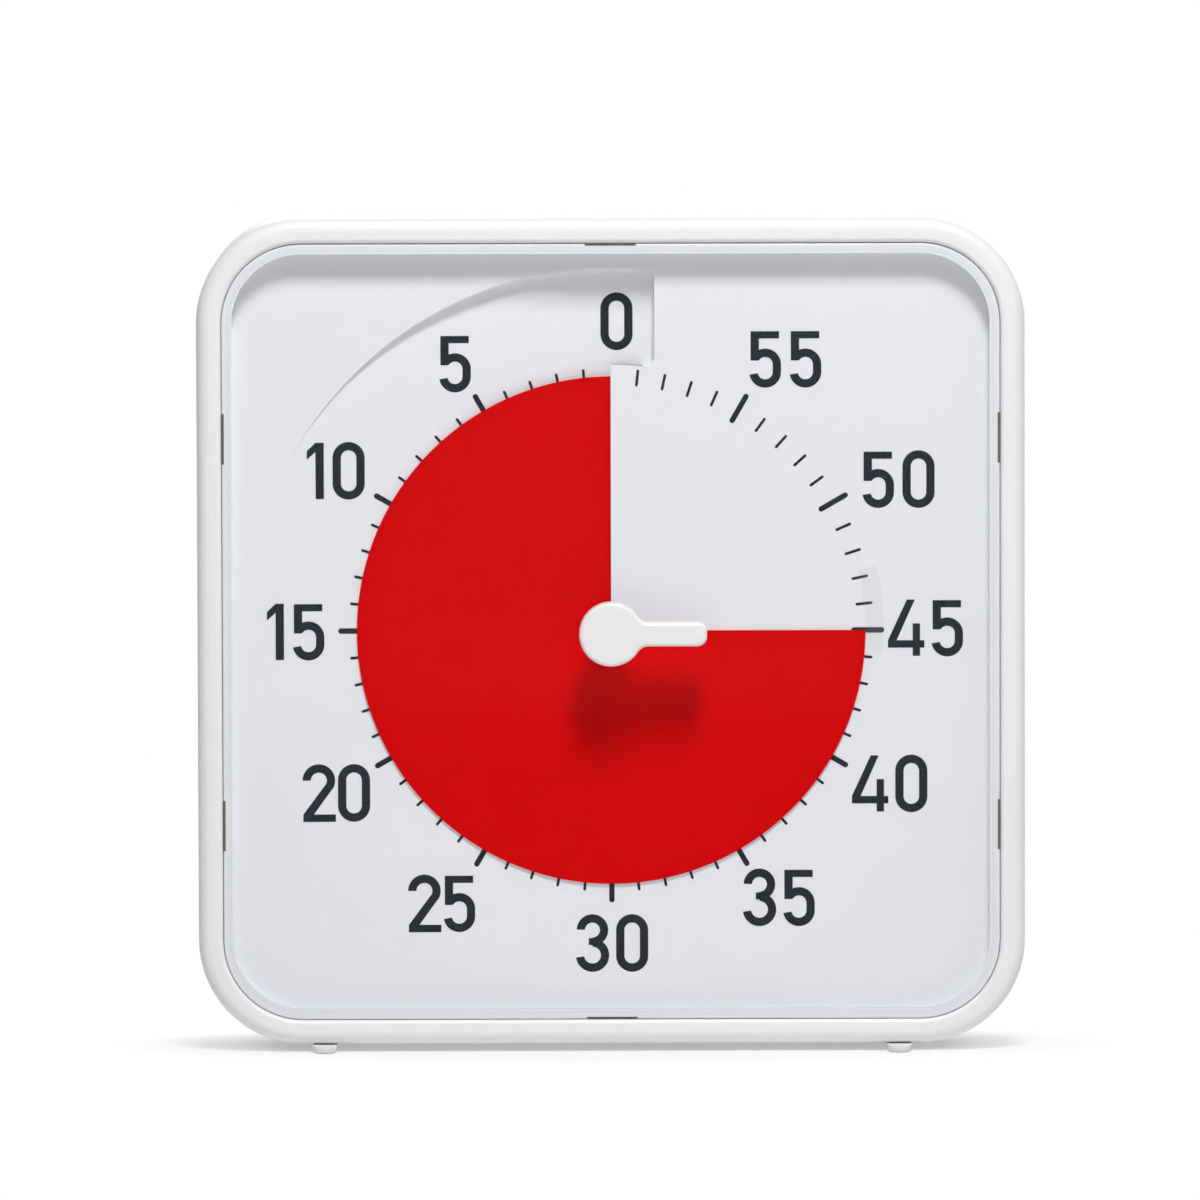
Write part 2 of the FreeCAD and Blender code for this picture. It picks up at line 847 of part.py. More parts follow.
def first_wheel():
    pinion_phase = facing(first_place, second_place) + 180.0 / large_pinion
    phase = facing(first_place, rotor_place)
    return wheel_and_pinion(first_place, first_teeth, phase, large_pinion, pinion_phase, 3)


def rotor():
    x, z = rotor_place
    phase = facing(rotor_place, first_place) + 180.0 / large_pinion
    front = layer(3) - wheel_gap
    body = gear(x, z, large_pinion, phase, pinion_tooth, front, rotor_pinion_length)
    body = body.fuse(cylinder(x, z, magnet_rotor_radius, front + rotor_pinion_length, rotor_magnet_length))
    return body.fuse(arbor(rotor_place)).removeSplitter()


stator_depth = layer(3) + stator_step
stator_bottom = rotor_place[1] + stator_above - stator_height
leg_z = stator_bottom + leg_height / 2
bobbin_right = rotor_place[0] - stator_width / 2 - slip
board_depth = movement_back - movement_wall - board_thickness


def stator():
    """The plate round the rotor, with the iron leg that the coil is wound on."""
    x, z = rotor_place
    body = block(x, z + stator_above - stator_height / 2, stator_width, stator_height, stator_depth, stator_thickness)
    leg_length = coil_length + 2 * flange_thickness
    leg_x = bobbin_right - leg_length / 2 + leg_root
    body = body.fuse(block(leg_x, leg_z, leg_length + 2 * leg_root, leg_height, stator_depth, stator_thickness))
    hole_length = stator_thickness + 2 * reach_past
    hole = cylinder(x, z, magnet_rotor_radius + rotor_gap, stator_depth - reach_past, hole_length)
    return body.cut(hole).removeSplitter()


def across(right, radius, length):
    """A round bar along the stator's leg that ends at its right end."""
    base = Vector(right - length, y_at(stator_depth + stator_thickness / 2), center_z + leg_z)
    return Part.makeCylinder(radius, length, base, Vector(1, 0, 0))


def coil_bobbin():
    body = across(bobbin_right, bobbin_radius, coil_length)
    body = body.fuse(across(bobbin_right, coil_radius + flange_rim, flange_thickness))
    left_flange = bobbin_right - coil_length + flange_thickness
    body = body.fuse(across(left_flange, coil_radius + flange_rim, flange_thickness))
    height = leg_height + 2 * fit
    hole = block(bobbin_right, leg_z, 4 * coil_length, height, stator_depth - fit, stator_thickness + 2 * fit)
    return body.cut(hole).removeSplitter()


def coil_winding():
    right = bobbin_right - flange_thickness
    length = coil_length - 2 * flange_thickness
    return across(right, coil_radius, length).cut(across(right + reach_past, bobbin_radius, length + 2 * reach_past))


def circuit_board():
    return block(board_x, board_z, board_width, board_height, board_depth, board_thickness)


def quartz_crystal():
    base = Vector(board_x - board_width / 4, y_at(board_depth - crystal_radius), center_z + board_z - crystal_drop)
    return Part.makeCylinder(crystal_radius, crystal_length, base, Vector(1, 0, 0))


def driver_chip():
    x = board_x + board_width / 4
    return block(x, board_z + chip_rise, chip_width, chip_width, board_depth - chip_height, chip_height)


def clutch_spring():
    """A dished washer that presses the centre wheel against its clip."""
    front = movement_front + movement_wall + fit
    height = layer(0) - fit - front
    base = Vector(0, y_at(front), center_z)
    outer = Part.makeCone(spring_radius, clip_radius, height, base, Vector(0, 1, 0))
    return outer.cut(cylinder(0, 0, shaft_radius + fit, front - reach_past, height + 2 * reach_past))


def shaft_clip():
    """A push-on ring that holds the centre wheel on the shaft."""
    body = cylinder(0, 0, clip_radius, layer(0) + wheel_thickness + collar_height + fit, clip_thickness)
    return body.cut(flatted(shaft_radius, shaft_flat, layer(0), movement_depth))


# Alert


def switch_body():
    x = -switch_left
    z = -switch_drop
    front = cover_front - switch_depth
    body = block(x, z, switch_width, switch_height, front, switch_depth)
    width = switch_knob + switch_travel + 2 * switch_end_room
    height = switch_knob_height + 2 * switch_room
    return body.cut(block(x, z, width, height, front + switch_floor, switch_depth))


def alert_slider():
    x = -switch_left - switch_travel / 2
    z = -switch_drop
    front = cover_front - switch_depth + switch_floor + fit
    return block(x, z, switch_knob, switch_knob_height, front, case_depth - switch_knob_inset - front)


def sounder():
    x = switch_left
    z = -switch_drop + sounder_rise
    front = cover_front - sounder_thickness
    body = cylinder(x, z, sounder_radius, front, sounder_thickness)
    return body.cut(cylinder(x, z, sounder_port, front - reach_past, sounder_port_depth + reach_past))


def cover_magnet(x, z):
    return cylinder(x, z, magnet_radius, case_depth - magnet_thickness, magnet_thickness)


def case_screw(x, z):
    return screw(x, z, case_depth, screw_shank, screw_head, screw_head_height, case_screw_length)


def movement_screw(x, z):
    head_back = movement_back + screw_head_height
    return screw(x, z, head_back, screw_shank, screw_head, screw_head_height, movement_depth + panel_thickness)


save("case_frame", case_frame())
save("lens", lens())
save("dial_face", dial_face())
save("dial_sheet", dial_sheet())
save("red_disc", red_disc())
save("guide_tab", guide_tab())
save("disc_hub", disc_hub())
save("knob", knob())
save("dial_shaft", dial_shaft())
save("dial_panel", dial_panel())
save("rear_cover", rear_cover())
save("battery_door", battery_door())
save("battery", battery())
save("positive_contact", contact_plate(1))
save("negative_contact", contact_plate(-1))
save("left_foot", foot(-1))
save("right_foot", foot(1))
save("left_foot_screw", foot_screw(-1))
save("right_foot_screw", foot_screw(1))
save("movement_housing", movement_housing())
save("movement_cover", movement_cover())
save("movement_screws", four(movement_screw_offset, movement_screw))
save("centre_wheel", centre_wheel())
save("third_wheel", third_wheel())
save("second_wheel", second_wheel())
save("first_wheel", first_wheel())
save("rotor", rotor())
save("stator", stator())
save("coil_bobbin", coil_bobbin())
save("coil_winding", coil_winding())
save("circuit_board", circuit_board())
save("quartz_crystal", quartz_crystal())
save("driver_chip", driver_chip())
save("clutch_spring", clutch_spring())
save("shaft_clip", shaft_clip())
save("switch_body", switch_body())
save("alert_slider", alert_slider())
save("sounder", sounder())
save("case_screws", four(standoff_offset, case_screw))
save("magnets", four(magnet_offset, cover_magnet))
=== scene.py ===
import math
import bmesh
import bpy
from mathutils import Matrix, Vector
from mathutils.bvhtree import BVHTree


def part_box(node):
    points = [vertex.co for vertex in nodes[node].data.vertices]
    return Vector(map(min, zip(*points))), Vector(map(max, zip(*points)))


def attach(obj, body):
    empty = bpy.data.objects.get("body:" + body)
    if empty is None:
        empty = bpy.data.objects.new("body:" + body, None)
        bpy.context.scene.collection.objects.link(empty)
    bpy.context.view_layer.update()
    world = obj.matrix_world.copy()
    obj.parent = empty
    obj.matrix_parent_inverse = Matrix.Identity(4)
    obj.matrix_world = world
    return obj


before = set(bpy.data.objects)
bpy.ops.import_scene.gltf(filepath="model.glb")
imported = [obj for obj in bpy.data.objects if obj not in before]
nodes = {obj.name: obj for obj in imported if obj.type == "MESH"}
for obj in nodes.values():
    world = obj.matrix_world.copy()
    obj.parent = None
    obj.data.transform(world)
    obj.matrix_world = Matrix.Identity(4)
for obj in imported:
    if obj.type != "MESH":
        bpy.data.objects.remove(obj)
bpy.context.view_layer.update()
MM = 0.001

# The dial's centre and the bezel's front, from the case itself
case_low, case_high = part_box("case_frame")
DIAL_X = (case_low.x + case_high.x) / 2
DIAL_Z = (case_low.z + case_high.z) / 2
BEZEL_FRONT = case_low.y

# Printing on the dial, in millimetres: its pen, its digits and their places from the dial's centre
STROKE = 1.92
CROSS_STROKE = 1.7
FLAT_HEIGHT = 13.0
ROUND_HEIGHT = 13.3
DIGIT_WIDTH = {"0": 7.4, "1": 3.9, "2": 7.5, "3": 7.6, "4": 8.4, "5": 7.3}
GAP_AFTER = {"1": 2.0, "2": 0.5, "3": 1.7, "4": 1.6, "5": 1.95}
NUMERAL_PLACES = {
    "0": (1.4, 71.2),
    "5": (-35.8, 61.6),
    "10": (-63.3, 37.0),
    "15": (-72.7, -0.1),
    "20": (-63.4, -37.4),
    "25": (-39.2, -63.0),
    "30": (0.0, -72.3),
    "35": (38.5, -61.8),
    "40": (64.1, -35.5),
    "45": (72.4, 0.5),
    "50": (66.2, 34.8),
    "55": (40.2, 62.6),
}
# A minute mark's inner and outer ends from the centre, and its width
MINOR_MARK = (56.6, 60.5, 0.64)
MAJOR_MARK = (55.3, 62.9, 1.25)
# How fine the printing's outlines are: the pen's turn in degrees, its least turns, and the cuts of a bar
PEN_TURN = 7.5
LEAST_TURNS = 6
STRIP_CUTS = 3
# How the printing is laid, in millimetres
MERGE_REACH = 0.0005
INK_RISE = 0.05
SEAM_NUDGE = 0.03
AHEAD = 100

# The lens's wall, which shows as a pale band inside the bezel, in millimetres
LENS_REACH = 89.4
LENS_CORNER = 18.25
LENS_WALL = 2.0
LENS_LINE = 0.35
# How much painted paleness covers the wall: the painted highlight at its inner edge, the band just outside
# it, and the wall at the case
PAINTED_EDGE_HIGHLIGHT = 0.97
PAINTED_BAND_PALENESS = 0.86
PAINTED_WALL_PALENESS = 0.95

# Strips of painted shadow in the lens's slots: their length, width, thickness and depth, and how far they lie
# from the middle of a side
SLOT_SHADOW_LENGTH = 11.5
SLOT_SHADOW_WIDTH = 0.46
SLOT_SHADOW_THICKNESS = 0.3
SLOT_SHADOW_DEPTH = 0.95
SLOT_SHADOW_OFFSET = 44.6

# Sizes of the patterns in the finishes, in millimetres, and how far the gloss strays either way
BROAD_SHADING = 40
GRAIN_RELIEF = 0.02
GLOSS_SPREAD = 0.12
FILM_HAZE = 18
FILM_SPREAD = 0.15


def linear(code):
    """An sRGB hex colour as the linear colour that a shader takes."""
    values = [int(code[i : i + 2], 16) / 255 for i in (0, 2, 4)]
    return [v / 12.92 if v <= 0.04045 else ((v + 0.055) / 1.055) ** 2.4 for v in values] + [1.0]


def add(tree, kind, links=(), **settings):
    """Adds a node with its settings and socket values, then links outputs into its inputs."""
    node = tree.nodes.new(kind)
    for name, value in settings.items():
        if name == "sockets":
            for socket, number in value.items():
                node.inputs[socket].default_value = number
        else:
            setattr(node, name, value)
    for source, output, socket in links:
        tree.links.new(source.outputs[output], node.inputs[socket])
    return node


def blank(name):
    """A new material, empty but for the object's own coordinates."""
    material = bpy.data.materials.new(name)
    material.use_nodes = True
    tree = material.node_tree
    tree.nodes.clear()
    place = add(tree, "ShaderNodeTexCoord")
    return material, tree, place


def show(tree, shader, output="BSDF"):
    """Makes a shader the material's surface."""
    add(tree, "ShaderNodeOutputMaterial", [(shader, output, "Surface")])


def moulded(name, colour, roughness, grain, bump, shade=0.03, metallic=0.0, ior=1.5, stretch=(1, 1, 1)):
    """A surface with a grain of a real size in mm that shades its colour, gloss and relief."""
    material, tree, place = blank(name)
    turned = add(tree, "ShaderNodeMapping", [(place, "Object", "Vector")], sockets={"Scale": stretch})
    fine = add(
        tree,
        "ShaderNodeTexNoise",
        [(turned, "Vector", "Vector")],
        sockets={"Scale": 1 / (grain * MM), "Detail": 3.0, "Roughness": 0.55},
    )
    broad = add(
        tree,
        "ShaderNodeTexNoise",
        [(turned, "Vector", "Vector")],
        sockets={"Scale": 1 / (BROAD_SHADING * MM), "Detail": 2.0},
    )
    pale = linear(colour)
    dark = [v * (1 - shade) for v in pale[:3]] + [1.0]
    tone = add(
        tree,
        "ShaderNodeMix",
        [(broad, "Fac", "Factor")],
        data_type="RGBA",
        sockets={6: dark, 7: pale},
    )
    smoothest = roughness * (1 - GLOSS_SPREAD)
    roughest = min(1.0, roughness * (1 + GLOSS_SPREAD))
    gloss = add(
        tree,
        "ShaderNodeMapRange",
        [(fine, "Fac", "Value")],
        sockets={"To Min": smoothest, "To Max": roughest},
    )
    relief = add(
        tree,
        "ShaderNodeBump",
        [(fine, "Fac", "Height")],
        sockets={"Strength": bump, "Distance": GRAIN_RELIEF * MM},
    )
    surface = add(
        tree,
        "ShaderNodeBsdfPrincipled",
        [(tone, 2, "Base Color"), (gloss, "Result", "Roughness"), (relief, "Normal", "Normal")],
        sockets={"Metallic": metallic, "IOR": ior},
    )
    show(tree, surface)
    return material


def rim_distance(tree, place):
    """How far a point lies past the corners' centres. The wall begins where that nears their radius."""
    middle = add(
        tree,
        "ShaderNodeVectorMath",
        [(place, "Object", 0)],
        operation="SUBTRACT",
        sockets={1: (DIAL_X, 0, DIAL_Z)},
    )
    quarter = add(tree, "ShaderNodeVectorMath", [(middle, "Vector", 0)], operation="ABSOLUTE")
    straight = (LENS_REACH - LENS_CORNER) * MM
    past = add(
        tree,
        "ShaderNodeVectorMath",
        [(quarter, "Vector", 0)],
        operation="SUBTRACT",
        sockets={1: (straight, 1, straight)},
    )
    beyond = add(
        tree,
        "ShaderNodeVectorMath",
        [(past, "Vector", 0)],
        operation="MAXIMUM",
        sockets={1: (0, 0, 0)},
    )
    return add(tree, "ShaderNodeVectorMath", [(beyond, "Vector", 0)], operation="LENGTH")


def clear_plastic():
    """Polished clear polystyrene. Light falls through its window. Its wall, seen edge on, is painted an
    opaque pale white that stands for the light the clear wall shows, with a painted highlight along its inner
    edge.
    """
    material, tree, place = blank("polished_clear_polystyrene")
    # Polystyrene is 1.59, but the picture shows next to no reflection, as a bloomed lens would
    glass = add(tree, "ShaderNodeBsdfGlass", sockets={"Color": (1, 1, 1, 1), "IOR": 1.06, "Roughness": 0.0})
    passing = add(tree, "ShaderNodeBsdfTransparent", sockets={"Color": (1, 1, 1, 1)})
    ray = add(tree, "ShaderNodeLightPath")
    falling = add(
        tree,
        "ShaderNodeMath",
        [(ray, "Is Shadow Ray", 0), (ray, "Is Diffuse Ray", 1)],
        operation="MAXIMUM",
    )
    window = add(
        tree,
        "ShaderNodeMixShader",
        [(falling, "Value", "Fac"), (glass, "BSDF", 1), (passing, "BSDF", 2)],
    )
    distance = rim_distance(tree, place)
    breadth = LENS_WALL + 2 * LENS_LINE
    share = add(
        tree,
        "ShaderNodeMapRange",
        [(distance, "Value", "Value")],
        sockets={"From Min": (LENS_CORNER - breadth) * MM, "From Max": LENS_CORNER * MM},
    )
    ramp = add(tree, "ShaderNodeValToRGB", [(share, "Result", "Fac")])
    stops = ramp.color_ramp
    stops.interpolation = "LINEAR"
    line = LENS_LINE / breadth
    # From the window outwards: clear, the painted highlight on the wall's inner edge, then the wall's painted
    # paleness
    levels = [
        (0.0, 0.0),
        (line, 0.0),
        (1.3 * line, PAINTED_EDGE_HIGHLIGHT),
        (1.9 * line, PAINTED_EDGE_HIGHLIGHT),
        (2.2 * line, PAINTED_BAND_PALENESS),
        (1.0, PAINTED_WALL_PALENESS),
    ]
    for position, level in levels[1:-1]:
        stops.elements.new(position)
    for element, (position, level) in zip(stops.elements, levels):
        element.position = position
        element.color = (level, level, level, 1)
    # Painted paleness: an opaque pale white that stands in for the light the clear wall shows edge on
    painted_wall = add(
        tree,
        "ShaderNodeBsdfPrincipled",
        sockets={"Base Color": linear("ECEFF4"), "Roughness": 0.25, "IOR": 1.5},
    )
    mixed = add(
        tree,
        "ShaderNodeMixShader",
        [(ramp, "Color", "Fac"), (window, "Shader", 1), (painted_wall, "BSDF", 2)],
    )
    show(tree, mixed, "Shader")
    return material


def film(name, colour, tint, cover, roughness):
    """Thin plastic film: a share of its own colour, and the rest is what lies under it."""
    material, tree, place = blank(name)
    haze = add(
        tree,
        "ShaderNodeTexNoise",
        [(place, "Object", "Vector")],
        sockets={"Scale": 1 / (FILM_HAZE * MM), "Detail": 2.0},
    )
    gloss = add(
        tree,
        "ShaderNodeMapRange",
        [(haze, "Fac", "Value")],
        sockets={"To Min": roughness * (1 - FILM_SPREAD), "To Max": roughness * (1 + FILM_SPREAD)},
    )
    skin = add(
        tree,
        "ShaderNodeBsdfPrincipled",
        [(gloss, "Result", "Roughness")],
        sockets={"Base Color": linear(colour), "Specular IOR Level": 0.03},
    )
    passing = add(tree, "ShaderNodeBsdfTransparent", sockets={"Color": linear(tint)})
    mixed = add(
        tree,
        "ShaderNodeMixShader",
        [(passing, "BSDF", 1), (skin, "BSDF", 2)],
        sockets={"Fac": cover},
    )
    show(tree, mixed, "Shader")
    return material


# Satin injection-moulded ABS: an even white with a very fine orange-peel
case_white = moulded("satin_moulded_abs", "F1F1F2", 0.42, 0.9, 0.10, 0.012)
# The cover's spark-eroded tool texture is coarser and duller than the bezel
cover_white = moulded("spark_textured_abs", "EBEBEC", 0.62, 0.7, 0.55, 0.02)
# Matt screen-printed polystyrene dial
dial_white = moulded("matt_printed_styrene", "EAECF1", 0.60, 1.2, 0.05, 0.010)
# The knob is glossier than the case
knob_white = moulded("polished_abs", "EFEFF0", 0.30, 1.5, 0.05, 0.010)
# Soft moulded elastomer of the feet
foot_white = moulded("soft_moulded_elastomer", "E6E6E7", 0.70, 0.6, 0.35, 0.03)
# Screen-printing ink: dull dark slate, whose matting agent takes most of the gloss away
ink = moulded("screen_printing_ink", "21252F", 0.88, 0.8, 0.05, 0.03, ior=1.35)
# Black ABS of the movement and switch
black_abs = moulded("black_moulded_abs", "25272A", 0.50, 0.8, 0.25, 0.08)
# Plain inner panel, unpainted
panel_grey = moulded("natural_moulded_styrene", "D2D3D5", 0.55, 0.9, 0.20, 0.02)
# Acetal wheels, slightly waxy
acetal = moulded("natural_acetal", "E7E3D8", 0.38, 0.8, 0.08, 0.02)
# Zinc-plated steel, fine bright grain
zinc = moulded("zinc_plated_steel", "B9BCC0", 0.32, 0.25, 0.15, 0.10, metallic=1.0)
# Tinned spring steel
tin = moulded("tinned_spring_steel", "C9C8C3", 0.28, 0.4, 0.10, 0.08, metallic=1.0)
# Turned brass: fine rings drawn round the axis
brass = moulded("turned_brass", "D0AE62", 0.30, 0.25, 0.12, 0.08, metallic=1.0, stretch=(1, 6, 1))
# Enamelled copper wire laid side by side
copper = moulded("enamelled_copper_wire", "A8542A", 0.35, 0.2, 0.60, 0.20, metallic=1.0, stretch=(6, 1, 1))
# Green solder mask over glass-fibre board
solder_mask = moulded("green_solder_mask", "1E5A36", 0.35, 0.5, 0.15, 0.12)
# Printed battery jacket, bare of words
jacket = moulded("printed_battery_jacket", "3A3D42", 0.35, 1.5, 0.05, 0.05)
# Painted shadow: a dark brown for the strips that stand in for the shade inside the lens's slots
slot_shadow_brown = moulded("painted_slot_shadow", "6A5C52", 0.60, 0.8, 0.05, 0.05)
lens_clear = clear_plastic()
# The disc's film is nearly opaque and the tab's nearly clear, and neither shows much gloss under the lens
red_film = film("dyed_red_vinyl_film", "DA0004", "F00810", 0.94, 0.40)
clear_film = film("clear_vinyl_film", "F4F6F8", "FEFEFE", 0.025, 0.25)

FINISHES = {
    "case_frame": case_white,
    "lens": lens_clear,
    "dial_face": dial_white,
    "dial_sheet": dial_white,
    "red_disc": red_film,
    "guide_tab": clear_film,
    "disc_hub": knob_white,
    "knob": knob_white,
    "dial_shaft": brass,
    "dial_panel": panel_grey,
    "rear_cover": cover_white,
    "battery_door": cover_white,
    "battery": jacket,
    "positive_contact": tin,
    "negative_contact": tin,
    "left_foot": foot_white,
    "right_foot": foot_white,
    "left_foot_screw": zinc,
    "right_foot_screw": zinc,
    "movement_housing": black_abs,
    "movement_cover": black_abs,
    "movement_screws": zinc,
    "centre_wheel": brass,
    "third_wheel": acetal,
    "second_wheel": acetal,
    "first_wheel": acetal,
    "rotor": acetal,
    "stator": zinc,
    "coil_bobbin": acetal,
    "coil_winding": copper,
    "circuit_board": solder_mask,
    "quartz_crystal": zinc,
    "driver_chip": black_abs,
    "clutch_spring": tin,
    "shaft_clip": tin,
    "switch_body": black_abs,
    "alert_slider": black_abs,
    "sounder": black_abs,
    "case_screws": zinc,
    "magnets": zinc,
}
for name, material in FINISHES.items():
    piece = nodes[name]
    for slot in piece.material_slots:
        slot.material = material


def front_surface(*names):
    """These nodes' surfaces, as trees to drop points on."""
    trees = []
    for name in names:
        mesh = bmesh.new()
        mesh.from_mesh(nodes[name].data)
        trees.append(BVHTree.FromBMesh(mesh))
        mesh.free()
    return trees


def drop(trees, x, z):
    """The first point of these surfaces straight behind x, z, both in millimetres from the dial's centre."""
    start = Vector((DIAL_X + x * MM, BEZEL_FRONT - AHEAD * MM, DIAL_Z + z * MM))
    for nudge in (0, SEAM_NUDGE, -SEAM_NUDGE):
        beside = start + Vector((nudge, 0, nudge)) * MM
        hits = [tree.ray_cast(beside, Vector((0, 1, 0)))[0] for tree in trees]
        found = [hit.y for hit in hits if hit]
        if found:
            return Vector((start.x, min(found), start.z))
    raise ValueError("nothing lies behind the printing")


def bar(mesh, corners):
    """A flat shape with straight sides, cut into strips so that it can follow the ramp."""
    face = mesh.faces.new([mesh.verts.new((x, 0, z)) for x, z in corners])
    bmesh.ops.subdivide_edges(mesh, edges=list(face.edges), cuts=STRIP_CUTS, use_grid_fill=True)


def arc(mesh, centre, radius, start, stop, width=STROKE):
    """A stroke round a centre, from one angle to another, made by spinning the pen's edge."""
    first = math.radians(start)
    pen = []
    for reach in (radius - width / 2, radius + width / 2):
        across = centre[0] + reach * math.cos(first)
        up = centre[1] + reach * math.sin(first)
        pen.append(mesh.verts.new((across, 0, up)))
    edge = mesh.edges.new(pen)
    bmesh.ops.spin(
        mesh,
        geom=[edge, *pen],
        cent=(centre[0], 0, centre[1]),
        axis=(0, -1, 0),
        angle=math.radians(stop - start),
        steps=max(LEAST_TURNS, int(abs(stop - start) / PEN_TURN)),
        use_merge=False,
    )


def rectangle(left, low, right, high):
    """The corners of an upright rectangle."""
    return [(left, low), (right, low), (right, high), (left, high)]


def draw_zero(mesh):
    """A narrow ring: two half rounds with straight sides between."""
    width = DIGIT_WIDTH["0"]
    radius = (width - STROKE) / 2
    low = width / 2
    high = ROUND_HEIGHT - width / 2
    arc(mesh, (width / 2, low), radius, 180, 360)
    arc(mesh, (width / 2, high), radius, 0, 180)
    bar(mesh, rectangle(0, low, STROKE, high))
    bar(mesh, rectangle(width - STROKE, low, width, high))


def draw_one(mesh):
    """An upright with a slanted flag."""
    width = DIGIT_WIDTH["1"]
    left = width - STROKE
    tip_low = 9.1
    tip_high = 11.1
    root_low = 10.9
    bar(mesh, rectangle(left, 0, width, FLAT_HEIGHT))
    bar(mesh, [(0, tip_low), (left, root_low), (left, FLAT_HEIGHT), (0, tip_high)])


def draw_two(mesh):
    """A bowl, a slanted stroke down from its end at the right, and a foot."""
    radius = 2.8
    middle = 3.6
    bowl_end = -34
    slant_foot = 2.45
    slant_top = [(6.75, 7.65), (5.1, 8.55)]
    arc(mesh, (middle, ROUND_HEIGHT - STROKE / 2 - radius), radius, bowl_end, 180)
    bar(mesh, [(0, CROSS_STROKE), (slant_foot, CROSS_STROKE), *slant_top])
    bar(mesh, rectangle(0, 0, DIGIT_WIDTH["2"], CROSS_STROKE))


def draw_three(mesh):
    """Two bowls that meet in a short cross stroke."""
    upper = 2.68
    lower = 2.9
    middle = 3.85
    upper_end = 178
    lower_start = -172
    cross_left = 3.0
    cross_right = 4.2
    cross_half = 0.8
    arc(mesh, (middle, ROUND_HEIGHT - STROKE / 2 - upper), upper, -90, upper_end)
    arc(mesh, (middle, STROKE / 2 + lower), lower, lower_start, 90)
    waist = ROUND_HEIGHT - STROKE / 2 - 2 * upper
    bar(mesh, rectangle(cross_left, waist - cross_half, cross_right, waist + cross_half))


def draw_four(mesh):
    """A slanted stroke, a cross stroke and a short upright."""
    cross_low = 1.9
    cross_high = cross_low + CROSS_STROKE
    slant_foot = 2.0
    slant_left = 4.35
    slant_right = 6.2
    upright_left = 5.7
    upright_top = 7.5
    slant = [(0, cross_high), (slant_foot, cross_high), (slant_right, FLAT_HEIGHT), (slant_left, FLAT_HEIGHT)]
    bar(mesh, slant)
    bar(mesh, rectangle(0, cross_low, DIGIT_WIDTH["4"], cross_high))
    bar(mesh, rectangle(upright_left, 0, upright_left + CROSS_STROKE, upright_top))


def draw_five(mesh):
    """A flag, a short upright, and a bowl with a straight side at the right."""
    width = DIGIT_WIDTH["5"]
    radius = (width - STROKE) / 2
    middle = width / 2
    low = STROKE / 2 + radius
    bowl_top = 8.05
    high = bowl_top - radius
    left = 0.3
    flag_right = 6.85
    flag_thickness = 1.65
    flag_low = FLAT_HEIGHT - flag_thickness
    upright_low = 6.25
    bowl_start = 145
    bowl_end = -170
    bar(mesh, rectangle(left, flag_low, flag_right, FLAT_HEIGHT))
    bar(mesh, rectangle(left, upright_low, left + STROKE, flag_low))
    arc(mesh, (middle, high), radius, 0, bowl_start)
    bar(mesh, rectangle(width - STROKE, low, width, high))
    arc(mesh, (middle, low), radius, bowl_end, 0)


DRAW = {"0": draw_zero, "1": draw_one, "2": draw_two, "3": draw_three, "4": draw_four, "5": draw_five}


def lay_ink(mesh, name, trees):
    """Lays a flat drawing on the dial, an ink's thickness above it, and faces it to the front."""
    for vert in mesh.verts:
        hit = drop(trees, vert.co.x, vert.co.z)
        vert.co = hit + Vector((0, -INK_RISE * MM, 0))
    mesh.normal_update()
    for face in mesh.faces:
        if face.normal.y > 0:
            face.normal_flip()
    data = bpy.data.meshes.new(name)
    mesh.to_mesh(data)
    mesh.free()
    piece = bpy.data.objects.new(name, data)
    bpy.context.collection.objects.link(piece)
    data.materials.append(ink)
    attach(piece, "case")


def stamp(sheet, draw, place):
    """Draws a shape by itself, moves it by a matrix and adds it to a sheet of printing."""
    shape = bmesh.new()
    draw(shape)
    bmesh.ops.remove_doubles(shape, verts=shape.verts, dist=MERGE_REACH)
    bmesh.ops.transform(shape, matrix=place, verts=shape.verts)
    data = bpy.data.meshes.new("stamp")
    shape.to_mesh(data)
    shape.free()
    sheet.from_mesh(data)
    bpy.data.meshes.remove(data)


def numeral(text, trees):
    """One number of the dial, with its digits side by side about its middle."""
    width = sum(DIGIT_WIDTH[d] for d in text) + sum(GAP_AFTER[d] for d in text[:-1])
    middle_x, middle_z = NUMERAL_PLACES[text]
    mesh = bmesh.new()
    left = middle_x - width / 2
    for digit in text:
        height = FLAT_HEIGHT if digit in "14" else ROUND_HEIGHT
        stamp(mesh, DRAW[digit], Matrix.Translation((left, 0, middle_z - height / 2)))
        left += DIGIT_WIDTH[digit] + GAP_AFTER.get(digit, 0)
    lay_ink(mesh, "numeral_" + text, trees)


def draw_mark(mesh, inner, outer, width):
    """A short radial line with round ends."""
    half = width / 2
    # The pen stops a hair short of the centre that it turns about
    pen = half * 0.999
    bar(mesh, rectangle(-half, inner + half, half, outer - half))
    arc(mesh, (0, outer - half), half / 2, 0, 180, pen)
    arc(mesh, (0, inner + half), half / 2, 180, 360, pen)


def draw_minor(mesh):
    draw_mark(mesh, *MINOR_MARK)


def draw_major(mesh):
    draw_mark(mesh, *MAJOR_MARK)


def minute_marks(trees):
    """A mark a minute round the disc's edge, longer and thicker every five minutes, and none at zero."""
    mesh = bmesh.new()
    for minute in range(1, 60):
        draw = draw_major if minute % 5 == 0 else draw_minor
        stamp(mesh, draw, Matrix.Rotation(math.radians(-6 * minute), 4, "Y"))
    lay_ink(mesh, "minute_marks", trees)


